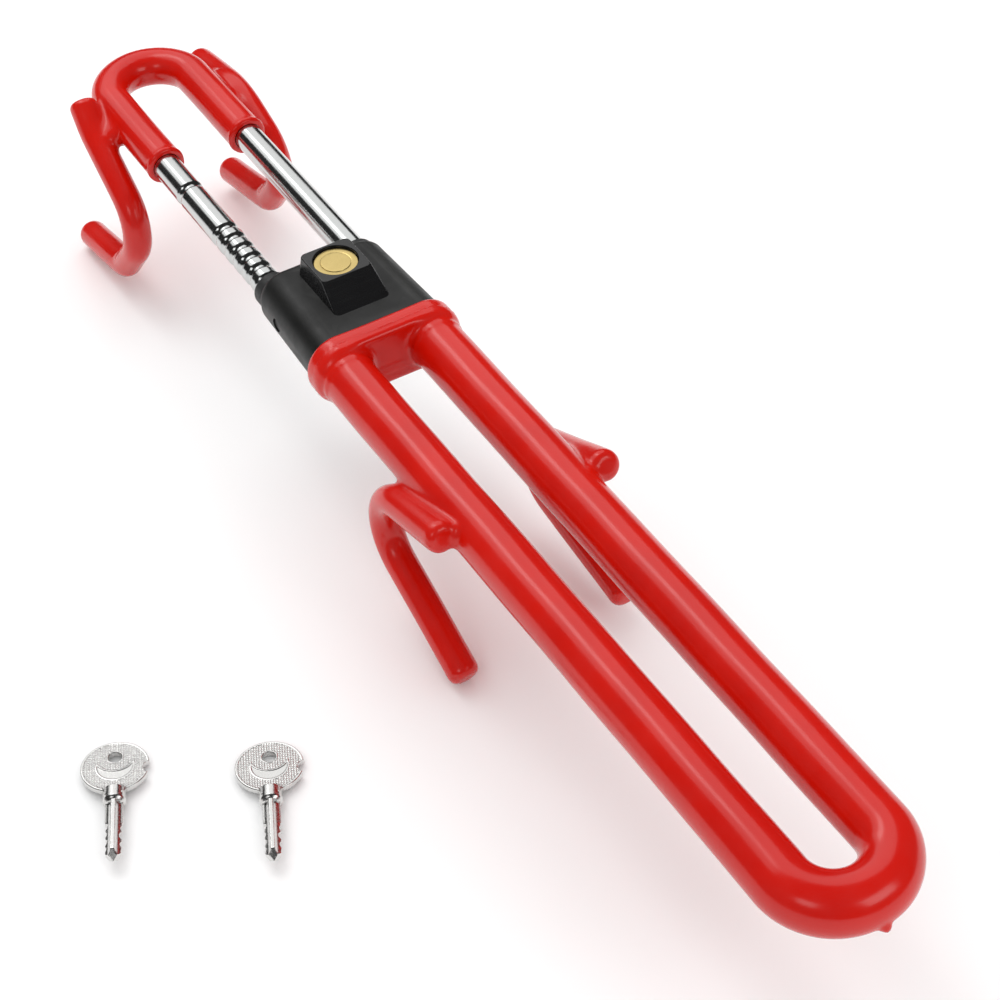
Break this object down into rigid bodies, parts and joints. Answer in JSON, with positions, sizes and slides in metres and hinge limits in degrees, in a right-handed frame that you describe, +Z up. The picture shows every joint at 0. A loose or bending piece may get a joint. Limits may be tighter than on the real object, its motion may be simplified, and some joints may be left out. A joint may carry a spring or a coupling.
{
  "type": "steering wheel lock",
  "caption": "Telescopic double-hook steering wheel lock: red dipped U handle and sliding hooked head on chromed rods, black lock housing with a covered key cylinder, and loose cross keys.",
  "frame": {"origin": "where the key cylinder's axis meets the flat underside of the lock housing", "axes": "+Y runs from the handle to the head along the rods, +Z is up along the key cylinder towards its cover, +X is to the right, with the notched rod on the -X side"},
  "size_m": [0.2202, 0.5447, 0.0914],
  "materials": {
    "red_coating": "glossy dipped PVC, slightly wavy",
    "steel": "plain cold-drawn steel",
    "black_casting": "satin black powder coat on zinc casting",
    "black_plastic": "moulded black nylon",
    "boss_plastic": "moulded black plastic, smooth",
    "brass": "machined brass",
    "cover_brass": "lacquered polished brass",
    "chrome": "bright chrome plate",
    "key_nickel": "nickel plate, stamped"
  },
  "bodies": {
    "handle": {"handle_tube": "steel", "handle_coating": "red_coating", "rear_hook_left": "steel", "rear_hook_right": "steel", "rear_hook_coating_left": "red_coating", "rear_hook_coating_right": "red_coating", "rear_hook_welds": "steel", "end_plate": "steel", "flange_coating": "red_coating", "lock_housing": "black_casting", "guide_bush_left": "black_plastic", "guide_bush_right": "black_plastic", "side_plug": "black_casting", "bottom_cover": "steel", "bottom_cover_screws": "steel", "cylinder_pin": "steel", "boss_cover": "boss_plastic", "cylinder_shell": "brass", "driver_pins": "brass", "pin_springs": "steel"},
    "plug": {"cylinder_plug": "brass", "key_pins": "brass", "plug_cam": "steel", "plug_clip": "steel"},
    "latch": {"latch_bolt": "steel"},
    "cover": {"keyway_cover": "cover_brass"},
    "head": {"head_tube": "steel", "head_coating": "red_coating", "head_hook_left": "steel", "head_hook_right": "steel", "head_hook_coating_left": "red_coating", "head_hook_coating_right": "red_coating", "head_hook_welds": "steel", "rod_notched": "chrome", "rod_plain": "chrome", "rod_stops": "steel"},
    "first_key": {"key_1": "key_nickel"},
    "second_key": {"key_2": "key_nickel"}
  },
  "joints": [
    {"name": "head_slide", "type": "slide", "parent": "handle", "child": "head", "axis": [0, 1, 0], "range_m": [-0.0925, 0.18]},
    {"name": "plug_turn", "type": "hinge", "parent": "handle", "child": "plug", "pos_m": [0, 0, 0.0298], "axis": [0, 0, 1], "range_deg": [0, 90]},
    {"name": "latch_slide", "type": "slide", "parent": "handle", "child": "latch", "axis": [-1, 0, 0], "range_m": [0, 0.0015]},
    {"name": "cover_lift", "type": "slide", "parent": "handle", "child": "cover", "axis": [0, 0, 1], "range_m": [0, 0.02]},
    {"name": "key_1_lift", "type": "slide", "parent": "handle", "child": "first_key", "axis": [0, 0, 1], "range_m": [0, 0.04]},
    {"name": "key_2_lift", "type": "slide", "parent": "handle", "child": "second_key", "axis": [0, 0, 1], "range_m": [0, 0.04]}
  ],
  "couplings": [
    {"joint": "latch_slide", "follows": "plug_turn", "m_per_rad": 0.00095493}
  ]
}
